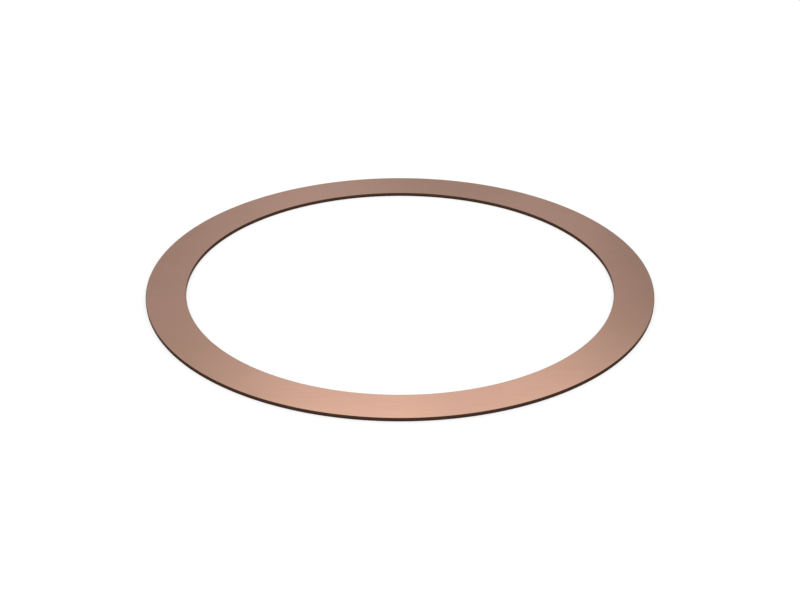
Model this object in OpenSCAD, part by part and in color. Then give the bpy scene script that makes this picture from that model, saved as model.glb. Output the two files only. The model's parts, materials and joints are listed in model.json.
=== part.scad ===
// Pinion shim: a thin flat ring blanked from rolled strip. It backs the bearing cup behind a pinion gear,
// and its graded thickness sets how deep the pinion sits in mesh.
// The origin is the centre of the bore, in the plane of the seat face. +Z points to the cup face.

/* [Ring] */
// Outside diameter over the burnished land, a loose fit in the bore that holds the bearing cup
outer_d = 84.5; // [60:0.1:120]
// Width of the band between the bore and the outer wall, which backs the end of the bearing cup
band_w = 6.65; // [3:0.05:12]
// Graded thickness, face to face
thickness = 0.6; // [0.4:0.01:1.5]

/* [Blanked edges] */
// One stroke of a compound die cuts both walls, so both rolled edges are on the cup face.
// Radius that the tools roll over on both edges of the cup face
roll_r = 0.08; // [0.02:0.01:0.12]
// Height of the burnished land, the true cylinder that the tools wipe below the rolled edge
land_h = 0.2; // [0.05:0.01:0.2]
// How far the break below the land leans back by the time it meets the seat face
break_lean = 0.02; // [0:0.005:0.04]
// Leg of the chamfer that deburring leaves on both edges of the seat face
deburr_leg = 0.03; // [0.01:0.01:0.05]

/* [Hidden] */
// Inside diameter over the burnished land, clear of the bearing's rollers and cage
inner_d = outer_d - 2 * band_w;
// The rolled strip's colour, in bright light
bronze = [0.83, 0.64, 0.54];
// Steps in a full turn of the ring, and in a full turn of the rolled edge's small arc
ring_steps = 360;
roll_steps = 48;

// One blanked wall, from the seat face up to the cup face, as [radius, height] points.
// Its top corner is cut straight across, for the rolled edge to fill.
// A side of 1 is the outer wall, and -1 is the wall of the bore.
function blanked_wall(wall_r, side) = let (
    roll_bottom = thickness - roll_r,
    foot_r = wall_r - side * break_lean
) [
    [foot_r - side * deburr_leg, 0],
    [foot_r, deburr_leg],
    [wall_r, roll_bottom - land_h],
    [wall_r, roll_bottom],
    [wall_r - side * roll_r, thickness]
];

function reversed(points) = [for (i = [len(points) - 1 : -1 : 0]) points[i]];

// The arc that rounds the top of a wall, tangent to the land and to the cup face
module rolled_edge(wall_r, side) {
    translate([wall_r - side * roll_r, thickness - roll_r])
        circle(roll_r, $fn = roll_steps);
}

// Half of the ring's section, on the +X side of the axis
module section() {
    polygon(concat(blanked_wall(outer_d / 2, 1), reversed(blanked_wall(inner_d / 2, -1))));
    rolled_edge(outer_d / 2, 1);
    rolled_edge(inner_d / 2, -1);
}

module pinion_shim() {
    color(bronze)
        rotate_extrude($fn = ring_steps)
            section();
}

pinion_shim();
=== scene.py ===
"""The looks of the pinion shim: a thin flat ring of rolled bronze strip with dark blanked walls, lying on a
white floor. The ring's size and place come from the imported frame."""
import json
import math
from typing import NamedTuple

import bpy
import numpy as np
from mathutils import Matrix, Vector


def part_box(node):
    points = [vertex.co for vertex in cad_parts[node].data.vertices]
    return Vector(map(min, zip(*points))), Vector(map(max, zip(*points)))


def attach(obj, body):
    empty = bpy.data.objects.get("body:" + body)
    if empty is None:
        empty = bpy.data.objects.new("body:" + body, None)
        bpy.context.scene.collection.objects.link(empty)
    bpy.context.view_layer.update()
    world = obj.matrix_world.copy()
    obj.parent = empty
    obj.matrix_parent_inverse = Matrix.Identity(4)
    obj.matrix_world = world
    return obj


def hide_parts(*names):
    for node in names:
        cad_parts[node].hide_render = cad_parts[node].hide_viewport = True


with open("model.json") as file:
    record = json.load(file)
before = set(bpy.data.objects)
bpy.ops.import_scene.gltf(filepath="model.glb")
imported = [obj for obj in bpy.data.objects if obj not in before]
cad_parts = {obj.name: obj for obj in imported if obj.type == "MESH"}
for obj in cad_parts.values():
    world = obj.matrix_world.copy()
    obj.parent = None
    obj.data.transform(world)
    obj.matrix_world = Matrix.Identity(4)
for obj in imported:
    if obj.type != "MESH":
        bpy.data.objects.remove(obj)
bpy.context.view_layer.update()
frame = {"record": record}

MM = 0.001


def mount_radius(name):
    """The radius of one of the part's mounts, from the record."""
    dims = {mount["name"]: mount["dims"] for mount in frame["record"]["mounts"]}
    return dims[name]["r_mm"] * MM


# The ring's own sizes
shim_low, shim_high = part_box("pinion_shim")
THICKNESS = shim_high.z - shim_low.z
RIM_R = mount_radius("rim")
BORE_R = mount_radius("bore")

# The camera that the photograph was taken with, placed from the centre of the cup face
CAMERA_ELEVATION = math.radians(27.95)
CAMERA_DISTANCE = 311.7 * MM
CAMERA_AIM_BELOW = math.radians(0.50)
CAMERA_LENS = 83.85
CAMERA_SENSOR = 36.0
CAMERA_CLIP = 10 * MM

# The blanked walls, as in the part's source
ROLL_R = 0.08 * MM
LAND_H = 0.2 * MM
BREAK_LEAN = 0.02 * MM
DEBURR_LEG = 0.03 * MM

# Their relief, which the source leaves out: pits in the break, and a land whose lower edge wavers in height
PIT_DEPTH = 0.008 * MM
WAVER_HEIGHT = 0.015 * MM
WAVER_COUNT = 24
WAVER_FEWEST = 9
WAVER_MOST = 160
RELIEF_SEED = 11

# The mesh: slices round the ring, steps up each part of a wall, and how far in a face's own row lies
SLICES = 1800
DEBURR_STEPS = 2
BREAK_STEPS = 8
LAND_STEPS = 3
ROLL_STEPS = 8
FACE_LOOP = 0.04 * MM

# The ring's map for baking, cut into strips that lie one above another, with a gap round each
MAP_STRIPS = 4
MAP_GAP = 0.006


class Row(NamedTuple):
    """One row of the mesh, all the way round the ring."""

    # Radius and height at each slice
    radius: np.ndarray
    height: np.ndarray
    # 0 on a face and 1 on a wall, with steps between on the edges that join them
    walled: float = 0.0
    # 1 on the break and 0 elsewhere
    torn: float = 0.0


def even(value):
    """The same value at every slice."""
    return np.full(SLICES, value)


def waver(rng):
    """A height for each slice, made of a seeded sum of waves that close on themselves round the ring."""
    turn = np.linspace(0, 2 * np.pi, SLICES, endpoint=False)
    total = even(0.0)
    for wave in rng.integers(WAVER_FEWEST, WAVER_MOST, WAVER_COUNT):
        total += np.cos(wave * turn + rng.uniform(0, 2 * np.pi))
    return WAVER_HEIGHT * total / math.sqrt(WAVER_COUNT)


def deburred_edge(foot_r, side):
    """The edge at the seat face, rounded off by deburring."""
    rows = []
    for step in range(DEBURR_STEPS + 1):
        turn = math.pi / 2 * step / DEBURR_STEPS
        radius = foot_r - side * DEBURR_LEG * (1 - math.sin(turn))
        height = DEBURR_LEG * (1 - math.cos(turn))
        rows.append(Row(even(radius), even(height), walled=step / DEBURR_STEPS))
    return rows


def torn_break(foot_r, side, land_bottom, rng):
    """The pitted break, which leans out from the deburred edge to the land."""
    rows = []
    for step in range(1, BREAK_STEPS):
        share = step / BREAK_STEPS
        pits = PIT_DEPTH * math.sin(math.pi * share) * rng.uniform(0, 1, SLICES)
        radius = foot_r + side * (BREAK_LEAN * share - pits)
        height = DEBURR_LEG + (land_bottom - DEBURR_LEG) * share
        rows.append(Row(radius, height, walled=1.0, torn=1.0))
    return rows


def burnished_land(wall_r, land_bottom, land_top):
    """The smooth upright land."""
    rows = []
    for step in range(LAND_STEPS):
        height = land_bottom + (land_top - land_bottom) * step / LAND_STEPS
        rows.append(Row(even(wall_r), height, walled=1.0))
    return rows


def rolled_edge(wall_r, side, land_top):
    """The round from the land to the cup face."""
    rows = []
    for step in range(ROLL_STEPS + 1):
        turn = math.pi / 2 * step / ROLL_STEPS
        radius = wall_r - side * ROLL_R * (1 - math.cos(turn))
        height = land_top + ROLL_R * math.sin(turn)
        rows.append(Row(even(radius), even(height), walled=1 - step / ROLL_STEPS))
    return rows


def blanked_wall(wall_r, side, rng):
    """One wall from the seat face up to the cup face. A side of 1 is the outer wall, and -1 is the bore's."""
    foot_r = wall_r - side * BREAK_LEAN
    land_top = THICKNESS - ROLL_R
    land_bottom = land_top - LAND_H + waver(rng)
    rows = deburred_edge(foot_r, side)
    rows += torn_break(foot_r, side, land_bottom, rng)
    rows += burnished_land(wall_r, land_bottom, land_top)
    rows += rolled_edge(wall_r, side, land_top)
    return rows


def face_loop(edge, way):
    """A row on a face beside its edge, which keeps the face's shading flat. A way of 1 is outward."""
    return Row(edge.radius + way * FACE_LOOP, edge.height)


def section_rows():
    """The closed section: up the outer wall, across the cup face, down the bore's wall and back."""
    rng = np.random.default_rng(RELIEF_SEED)
    outer = blanked_wall(RIM_R, 1, rng)
    inner = blanked_wall(BORE_R, -1, rng)
    cup_face = [face_loop(outer[-1], -1), face_loop(inner[-1], 1)]
    seat_face = [face_loop(inner[0], 1), face_loop(outer[0], -1)]
    return outer + cup_face + inner[::-1] + seat_face


def ring_mesh():
    """The ring as one closed mesh, with its rows' values as attributes."""
    rows = section_rows()
    turn = np.linspace(0, 2 * np.pi, SLICES, endpoint=False)
    radius = np.stack([row.radius for row in rows])
    height = np.stack([row.height for row in rows])
    points = np.stack([radius * np.cos(turn), radius * np.sin(turn), height], -1).reshape(-1, 3)

    row_index, slice_index = np.meshgrid(np.arange(len(rows)), np.arange(SLICES), indexing="ij")
    start = row_index * SLICES
    next_start = (row_index + 1) % len(rows) * SLICES
    next_slice = (slice_index + 1) % SLICES
    corners = [start + slice_index, start + next_slice, next_start + next_slice, next_start + slice_index]
    faces = np.stack(corners, -1).reshape(-1, 4)

    mesh = bpy.data.meshes.new("shim_ring")
    mesh.from_pydata(points.tolist(), [], faces.tolist())
    for name in ("walled", "torn"):
        values = np.repeat([getattr(row, name) for row in rows], SLICES).astype(np.float32)
        mesh.attributes.new(name, "FLOAT", "POINT").data.foreach_set("value", values)
    add_map(mesh, rows, row_index.ravel(), slice_index.ravel())
    mesh.shade_smooth()
    mesh.validate()
    return mesh


def add_map(mesh, rows, row_index, slice_index):
    """Unrolls the ring into strips, each as long as a part of the turn and as high as the whole section."""
    section = np.array([[row.radius.mean(), row.height.mean()] for row in rows])
    steps = np.linalg.norm(np.roll(section, -1, 0) - section, axis=1)
    up_section = np.concatenate([[0], np.cumsum(steps)]) / steps.sum()
    strip_slices = SLICES // MAP_STRIPS
    strip, place = np.divmod(slice_index, strip_slices)
    strip_gap = MAP_GAP * MAP_STRIPS
    corners = []
    # The corners of each face, in the order that the mesh has them
    for row_step, slice_step in ((0, 0), (0, 1), (1, 1), (1, 0)):
        along = (place + slice_step) / strip_slices
        up = up_section[row_index + row_step]
        u = MAP_GAP + (1 - 2 * MAP_GAP) * along
        v = (strip + strip_gap + (1 - 2 * strip_gap) * up) / MAP_STRIPS
        corners.append(np.stack([u, v], -1))
    layer = mesh.uv_layers.new(name="OFBake")
    layer.uv.foreach_set("vector", np.stack(corners, 1).astype(np.float32).ravel())


class Noise(NamedTuple):
    """A noise that marks the metal, in the frame's coordinates."""

    # Size along X, Y and Z
    size: tuple
    # Angle that it is turned by, about Z
    turn: float
    detail: float
    seed: float
    # The two values between which its own colour comes in
    limits: tuple


class Nodes:
    """Adds nodes to a tree and links their inputs in one call."""

    def __init__(self, tree):
        self.tree = tree
        tree.nodes.clear()

    def add(self, kind, inputs=None, **settings):
        """A new node. Its inputs, by name or number, are each a socket to link or a value to set."""
        node = self.tree.nodes.new(kind)
        for name, value in settings.items():
            setattr(node, name, value)
        for name, value in (inputs or {}).items():
            if isinstance(value, bpy.types.NodeSocket):
                self.tree.links.new(value, node.inputs[name])
            else:
                node.inputs[name].default_value = value
        return node

    def attribute(self, name):
        """A value that the mesh carries."""
        return self.add("ShaderNodeAttribute", attribute_name=name).outputs["Fac"]

    def math(self, operation, *values):
        """What the operation makes of the values."""
        return self.add("ShaderNodeMath", dict(enumerate(values)), operation=operation).outputs[0]

    def blend(self, share, first, second, how="MIX"):
        """The first colour where share is 0, and the second, or its product with the first, where it is 1."""
        inputs = {0: share, 6: first, 7: second}
        return self.add("ShaderNodeMix", inputs, data_type="RGBA", blend_type=how).outputs[2]

    def between(self, share, first, second):
        """The number that is first where share is 0 and second where it is 1."""
        return self.add("ShaderNodeMix", {0: share, 2: first, 3: second}, data_type="FLOAT").outputs[0]

    def ramp(self, value, limits):
        """0 where value is at the first limit and 1 where it is at the second, with a smooth rise between."""
        inputs = {"Value": value, "From Min": limits[0], "From Max": limits[1]}
        return self.add("ShaderNodeMapRange", inputs, interpolation_type="SMOOTHSTEP").outputs["Result"]

    def object_place(self):
        """Object coordinates, which are the frame's, as the ring's object sits at the origin."""
        return self.add("ShaderNodeTexCoord").outputs["Object"]

    def stretched(self, size, turn):
        """Object coordinates turned about Z, in which one unit is size along X, Y and Z."""
        inputs = {"Vector": self.object_place(), "Rotation": (0, 0, turn), "Scale": size}
        return self.add("ShaderNodeMapping", inputs, vector_type="TEXTURE").outputs[0]

    def plain_noise(self, place, detail, seed):
        """A noise from 0 to 1, whose size is one unit of the place."""
        inputs = {"Vector": place, "W": seed, "Scale": 1.0, "Detail": detail}
        return self.add("ShaderNodeTexNoise", inputs, noise_dimensions="4D").outputs["Fac"]

    def noise(self, marks):
        """The value of one of the metal's noises, from 0 to 1."""
        return self.plain_noise(self.stretched(marks.size, marks.turn), marks.detail, marks.seed)


# Colours of the bronze strip's faces
BRONZE = (0.725, 0.420, 0.302, 1)
BRONZE_PINK = (0.745, 0.425, 0.314, 1)
BRONZE_BROWN = (0.705, 0.413, 0.290, 1)
GRAIN_DARK = (0.635, 0.358, 0.252, 1)
SCRATCH_PALE = (0.79, 0.50, 0.39, 1)
# Painted shade that makes the face a little darker toward the rim
RIM_PAINTED_SHADE = (0.95, 0.95, 0.95, 1)

# Colours of the land and the break: oxide brown, darkened further as painted shade on the walls
LAND_BROWN = (0.072, 0.037, 0.024, 1)
LAND_DARK = (0.048, 0.024, 0.015, 1)
TORN_BROWN = (0.068, 0.036, 0.024, 1)
TORN_DARK = (0.033, 0.018, 0.012, 1)

# Tints of the reflections at grazing angles, which would be white on bare metal
BRONZE_EDGE = (1, 1, 1, 1)
# On the walls the tint is dimmed and browned, which keeps their painted shade at grazing angles
OXIDE_AND_SHADE_EDGE = (0.60, 0.53, 0.50, 1)

# Marks on the faces. The strip was rolled along X.
PATCHES = Noise(size=(9 * MM, 6 * MM, 0.25 * MM), turn=0.5, detail=3, seed=1, limits=(0.35, 0.65))
BANDS = Noise(size=(45 * MM, 1.6 * MM, 0.25 * MM), turn=0, detail=2, seed=2, limits=(0.3, 0.7))
GRAIN = Noise(size=(12 * MM, 0.14 * MM, 0.25 * MM), turn=0, detail=3, seed=3, limits=(0.45, 0.75))
GRAIN_STRENGTH = 0.35

# Marks on the walls, which were cut along Z: lines drawn on the land by the tools, and the break's crumbs
DRAW_LINES = Noise(size=(0.06 * MM, 0.06 * MM, 1.5 * MM), turn=0, detail=2, seed=4, limits=(0.4, 0.65))
CRUMBS = Noise(size=(0.06 * MM, 0.06 * MM, 0.05 * MM), turn=0, detail=3, seed=5, limits=(0.35, 0.65))

# The walls' oxide brown and painted shade start at the edge of the face, so the rolled edge is dark too.
# They are full where the mesh's "walled" value, times the patches' noise, comes to this.
OXIDE_AND_SHADE_FULL = 0.06

# Roughness, and what the grain and the scratches add to it
FACE_ROUGH = 0.15
GRAIN_ROUGH = 0.06
SCRATCH_ROUGH = 0.1
LAND_ROUGH = 0.26
TORN_ROUGH = 0.5

# Heights of the marks, in thousandths of a millimetre
RELIEF_UNIT = 0.001 * MM
GRAIN_RELIEF = 0.1
SCRATCH_RELIEF = -0.2
DRAW_LINE_RELIEF = 1.0
CRUMB_RELIEF = 5.0

# Handling scratches: sets of parallel lines, each set along one angle. A cell holds one scratch, or none.
SCRATCH_TURNS = (0.3, 1.15, 2.5)
SCRATCH_CELL = (5 * MM, 1.3 * MM, 0.25 * MM)
SCRATCH_STRENGTH = 0.4

# How far a line wanders and half its width, as shares of the cell's width
SCRATCH_WANDER = 0.5
SCRATCH_HALF_WIDTH = 0.016

# Each line has a noise of its own, a step away from its neighbour's and from the wander's seed. A scratch
# comes in between these two values of it.
SCRATCH_LINE_STEP = 7.3
SCRATCH_SEED_STEP = 0.5
SCRATCH_LIMITS = (0.6, 0.75)


class Look(NamedTuple):
    """What one kind of surface looks like. Each is a socket or a value."""

    colour: object
    rough: object
    relief: object


def blend_looks(nodes, share, first, second):
    """The first look where share is 0 and the second where it is 1."""
    colour = nodes.blend(share, first.colour, second.colour)
    rough = nodes.between(share, first.rough, second.rough)
    relief = nodes.between(share, first.relief, second.relief)
    return Look(colour, rough, relief)


def scratch_set(nodes, turn, seed):
    """One set of fine scratches along one direction: 1 in a scratch and 0 elsewhere."""
    place = nodes.stretched(SCRATCH_CELL, turn)
    axes = nodes.add("ShaderNodeSeparateXYZ", {"Vector": place}).outputs

    # A wandering line runs along the middle of each unit of Y
    across = nodes.math("MULTIPLY_ADD", nodes.plain_noise(place, 0, seed), SCRATCH_WANDER, axes["Y"])
    off_line = nodes.math("ABSOLUTE", nodes.math("SUBTRACT", nodes.math("FRACT", across), 0.5))
    on_line = nodes.ramp(off_line, (SCRATCH_HALF_WIDTH, 0))

    # It shows only where a noise along it, which no other line has, is high
    own_y = nodes.math("MULTIPLY", nodes.math("FLOOR", across), SCRATCH_LINE_STEP)
    own_place = nodes.add("ShaderNodeCombineXYZ", {"X": axes["X"], "Y": own_y, "Z": axes["Z"]}).outputs[0]
    here = nodes.ramp(nodes.plain_noise(own_place, 0, seed + SCRATCH_SEED_STEP), SCRATCH_LIMITS)
    return nodes.math("MULTIPLY", here, on_line)


def scratches(nodes):
    """How strongly all the sets of scratches together mark the face."""
    total = 0.0
    for seed, turn in enumerate(SCRATCH_TURNS):
        total = nodes.math("MAXIMUM", total, scratch_set(nodes, turn, seed))
    return nodes.math("MULTIPLY", total, SCRATCH_STRENGTH)


def across_band(nodes):
    """0 at the bore and 1 at the rim."""
    inputs = {0: nodes.object_place(), 1: (1, 1, 0)}
    flat = nodes.add("ShaderNodeVectorMath", inputs, operation="MULTIPLY").outputs["Vector"]
    radius = nodes.add("ShaderNodeVectorMath", {0: flat}, operation="LENGTH").outputs["Value"]
    inputs = {"Value": radius, "From Min": BORE_R, "From Max": RIM_R}
    return nodes.add("ShaderNodeMapRange", inputs).outputs["Result"]


def face_look(nodes, patches):
    """Satin bronze with the strip's straight grain, faint bands and patches, and a few fine scratches."""
    bands = nodes.noise(BANDS)
    grain = nodes.noise(GRAIN)
    scratch = scratches(nodes)

    colour = nodes.blend(nodes.ramp(patches, PATCHES.limits), BRONZE_BROWN, BRONZE_PINK)
    colour = nodes.blend(nodes.ramp(bands, BANDS.limits), colour, BRONZE)
    dark_grain = nodes.math("MULTIPLY", nodes.ramp(grain, GRAIN.limits), GRAIN_STRENGTH)
    colour = nodes.blend(dark_grain, colour, GRAIN_DARK)
    # Painted shade: a little darker from the bore out to the rim
    colour = nodes.blend(across_band(nodes), colour, RIM_PAINTED_SHADE, "MULTIPLY")
    colour = nodes.blend(scratch, colour, SCRATCH_PALE)

    rough = nodes.math("MULTIPLY_ADD", grain, GRAIN_ROUGH, FACE_ROUGH)
    rough = nodes.math("MULTIPLY_ADD", scratch, SCRATCH_ROUGH, rough)
    relief = nodes.math("MULTIPLY", grain, GRAIN_RELIEF)
    relief = nodes.math("MULTIPLY_ADD", scratch, SCRATCH_RELIEF, relief)
    return Look(colour, rough, relief)


def land_look(nodes):
    """Smooth brown, oxide and painted shade, with the fine upright lines that the tools draw on it."""
    lines = nodes.noise(DRAW_LINES)
    colour = nodes.blend(nodes.ramp(lines, DRAW_LINES.limits), LAND_BROWN, LAND_DARK)
    return Look(colour, LAND_ROUGH, nodes.math("MULTIPLY", lines, DRAW_LINE_RELIEF))


def break_look(nodes):
    """Rough and grainy brown, oxide and painted shade."""
    crumbs = nodes.noise(CRUMBS)
    colour = nodes.blend(nodes.ramp(crumbs, CRUMBS.limits), TORN_BROWN, TORN_DARK)
    return Look(colour, TORN_ROUGH, nodes.math("MULTIPLY", crumbs, CRUMB_RELIEF))


def bronze_material():
    """The whole ring's material, which tells faces, lands and breaks apart by the mesh's attributes."""
    material = bpy.data.materials.new("bronze_strip")
    material.use_nodes = True
    nodes = Nodes(material.node_tree)
    patches = nodes.noise(PATCHES)
    wall = blend_looks(nodes, nodes.attribute("torn"), land_look(nodes), break_look(nodes))
    down_edge = nodes.math("MULTIPLY", patches, nodes.attribute("walled"))
    # Where the walls' oxide brown and painted shade show, from partway down the rolled edge
    oxide_and_shade = nodes.ramp(down_edge, (0, OXIDE_AND_SHADE_FULL))
    look = blend_looks(nodes, oxide_and_shade, face_look(nodes, patches), wall)
    bump = nodes.add("ShaderNodeBump", {"Strength": 1.0, "Distance": RELIEF_UNIT, "Height": look.relief})
    inputs = {
        "Base Color": look.colour,
        "Metallic": 1.0,
        "Roughness": look.rough,
        "Specular Tint": nodes.blend(oxide_and_shade, BRONZE_EDGE, OXIDE_AND_SHADE_EDGE),
        "Normal": bump.outputs[0],
    }
    surface = nodes.add("ShaderNodeBsdfPrincipled", inputs)
    nodes.add("ShaderNodeOutputMaterial", {"Surface": surface.outputs["BSDF"]})
    return material


def add_ring():
    """The shim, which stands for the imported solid."""
    ring = bpy.data.objects.new("shim_ring", ring_mesh())
    bpy.context.scene.collection.objects.link(ring)
    ring.data.materials.append(bronze_material())
    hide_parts("pinion_shim")
    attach(ring, "root")


def add_camera():
    """The photograph's camera."""
    camera = bpy.data.objects.new("camera", bpy.data.cameras.new("camera"))
    bpy.context.scene.collection.objects.link(camera)
    back = Vector((0, -math.cos(CAMERA_ELEVATION), math.sin(CAMERA_ELEVATION)))
    camera.location = Vector((0, 0, THICKNESS)) + CAMERA_DISTANCE * back
    camera.rotation_euler = (math.pi / 2 - CAMERA_ELEVATION - CAMERA_AIM_BELOW, 0, 0)
    camera.data.lens = CAMERA_LENS
    camera.data.sensor_width = CAMERA_SENSOR
    camera.data.clip_start = CAMERA_CLIP
    bpy.context.scene.camera = camera


WHITE = (1, 1, 1, 1)
CIRCLE_SIDES = 288

# The floor: a hair below the seat face, with the share of light that it gives back and how bright it looks
# where nothing shades it
FLOOR_RADIUS = 500 * MM
FLOOR_DROP = 0.02 * MM
FLOOR_ALBEDO = 0.35
FLOOR_WHITE = 1.03

# The sky's light on the floor
SKY_FILL = 0.92

# A wide soft lamp overhead
LAMP_RADIUS = 900 * MM
LAMP_HEIGHT = 857 * MM
LAMP_RADIANCE = 0.15

# A curtain round the set, whose top slopes down along X. It is grey up to a share of its height, and whiter
# from there to its top.
CURTAIN_RADIUS = 170 * MM
CURTAIN_HEIGHT = 157.8 * MM
CURTAIN_TILT = 0.19
CURTAIN_GREY = 0.51
CURTAIN_TOP = 1.447
CURTAIN_TINT = (0.98, 1.01, 1.05, 1)
GREY_SHARE = 0.62


class Fold(NamedTuple):
    """A fold in the curtain: what it does to the brightness, as a share, and its place and width along X."""

    depth: float
    place: float
    width: float


# The even folds' width is the step from one to the next
EVEN_FOLDS = Fold(depth=0.1, place=-23.1 * MM, width=74.8 * MM)
DARK_FOLD = Fold(depth=0.27, place=63.7 * MM, width=20.1 * MM)
PALE_FOLD = Fold(depth=0.244, place=2.8 * MM, width=9.2 * MM)


def seen_directly(nodes):
    """1 for the rays that show the background: from the camera, off a glossy surface or through glass."""
    path = nodes.add("ShaderNodeLightPath").outputs
    direct = nodes.math("ADD", path["Is Camera Ray"], path["Is Glossy Ray"])
    return nodes.math("ADD", direct, path["Is Transmission Ray"])


def add_world():
    """White where it is seen, and a little less where it lights the floor."""
    world = bpy.data.worlds.new("studio")
    bpy.context.scene.world = world
    world.use_nodes = True
    nodes = Nodes(world.node_tree)
    strength = nodes.between(seen_directly(nodes), SKY_FILL, 1.0)
    sky = nodes.add("ShaderNodeBackground", {"Color": WHITE, "Strength": strength})
    nodes.add("ShaderNodeOutputWorld", {"Surface": sky.outputs[0]})


def circle(radius):
    """Points round a circle about the ring's axis."""
    turn = [2 * math.pi * i / CIRCLE_SIDES for i in range(CIRCLE_SIDES)]
    return [(radius * math.cos(t), radius * math.sin(t)) for t in turn]


def light_on_floor():
    """The light on the middle of the floor: the sky's, and the lamp's by how much of the sky it fills."""
    lamp_share = LAMP_RADIUS**2 / (LAMP_RADIUS**2 + LAMP_HEIGHT**2)
    return SKY_FILL + LAMP_RADIANCE * lamp_share


def add_floor():
    """A white floor whose own light, for the rays that see it, leaves only a faint shadow under the ring."""
    mesh = bpy.data.meshes.new("floor")
    mesh.from_pydata([(x, y, -FLOOR_DROP) for x, y in circle(FLOOR_RADIUS)], [], [range(CIRCLE_SIDES)])
    floor = bpy.data.objects.new("floor", mesh)
    bpy.context.scene.collection.objects.link(floor)
    material = bpy.data.materials.new("white_floor")
    material.use_nodes = True
    nodes = Nodes(material.node_tree)
    paint = nodes.add("ShaderNodeBsdfDiffuse", {"Color": (FLOOR_ALBEDO, FLOOR_ALBEDO, FLOOR_ALBEDO, 1)})
    missing = FLOOR_WHITE - FLOOR_ALBEDO * light_on_floor()
    own_light = nodes.math("MULTIPLY", seen_directly(nodes), missing)
    glow = nodes.add("ShaderNodeEmission", {"Strength": own_light})
    both = nodes.add("ShaderNodeAddShader", {0: paint.outputs[0], 1: glow.outputs[0]})
    nodes.add("ShaderNodeOutputMaterial", {"Surface": both.outputs[0]})
    mesh.materials.append(material)


def add_lamp():
    """A disc lamp, whose power is its radiance times pi and its area."""
    lamp = bpy.data.lights.new("softbox", "AREA")
    lamp.shape = "DISK"
    lamp.size = 2 * LAMP_RADIUS
    lamp.energy = LAMP_RADIANCE * math.pi * math.pi * LAMP_RADIUS**2
    softbox = bpy.data.objects.new("softbox", lamp)
    softbox.location = (0, 0, LAMP_HEIGHT)
    softbox.visible_camera = False
    bpy.context.scene.collection.objects.link(softbox)


def hump(x, fold):
    """The fold's depth at its place, falling smoothly to 0 on both sides."""
    return fold.depth * math.exp(-(((x - fold.place) / fold.width) ** 2))


def folds(x):
    """The curtain's brightness at x, as a share: even folds and a dark one."""
    turn = 2 * math.pi * (x - EVEN_FOLDS.place) / EVEN_FOLDS.width
    return 1 + EVEN_FOLDS.depth * math.cos(turn) - hump(x, DARK_FOLD)


def curtain_mesh():
    """The curtain's wall, with its rise from foot to top and its folds as attributes."""
    foot = [(x, y, 0) for x, y in circle(CURTAIN_RADIUS)]
    top = [(x, y, CURTAIN_HEIGHT - CURTAIN_TILT * x) for x, y in circle(CURTAIN_RADIUS)]
    following = [(i + 1) % CIRCLE_SIDES for i in range(CIRCLE_SIDES)]
    faces = [(i, j, CIRCLE_SIDES + j, CIRCLE_SIDES + i) for i, j in enumerate(following)]
    mesh = bpy.data.meshes.new("curtain")
    mesh.from_pydata(foot + top, [], faces)
    across = [point[0] for point in foot + top]
    marks = {
        "rise": [0.0] * CIRCLE_SIDES + [1.0] * CIRCLE_SIDES,
        "folds": [folds(x) for x in across],
        "pale_fold": [hump(x, PALE_FOLD) for x in across],
    }
    for name, values in marks.items():
        mesh.attributes.new(name, "FLOAT", "POINT").data.foreach_set("value", values)
    return mesh


def curtain_material():
    """Glowing cloth. The pale fold shows only where the curtain is whiter, toward its top."""
    material = bpy.data.materials.new("grey_curtain")
    material.use_nodes = True
    nodes = Nodes(material.node_tree)
    whiter = nodes.ramp(nodes.attribute("rise"), (GREY_SHARE, 1))
    tint = nodes.blend(whiter, CURTAIN_TINT, WHITE)
    shade = nodes.math("MULTIPLY_ADD", whiter, nodes.attribute("pale_fold"), nodes.attribute("folds"))
    strength = nodes.math("MULTIPLY", nodes.between(whiter, CURTAIN_GREY, CURTAIN_TOP), shade)
    glow = nodes.add("ShaderNodeEmission", {"Color": tint, "Strength": strength})
    nodes.add("ShaderNodeOutputMaterial", {"Surface": glow.outputs[0]})
    return material


def add_curtain():
    """A curtain that only the metal's reflections show."""
    curtain = bpy.data.objects.new("curtain", curtain_mesh())
    bpy.context.scene.collection.objects.link(curtain)
    curtain.data.materials.append(curtain_material())
    curtain.visible_camera = False
    curtain.visible_diffuse = False
    curtain.visible_transmission = False
    curtain.visible_shadow = False


add_camera()
add_ring()
add_floor()
add_world()
add_lamp()
add_curtain()
bpy.context.scene.view_settings.view_transform = "Standard"
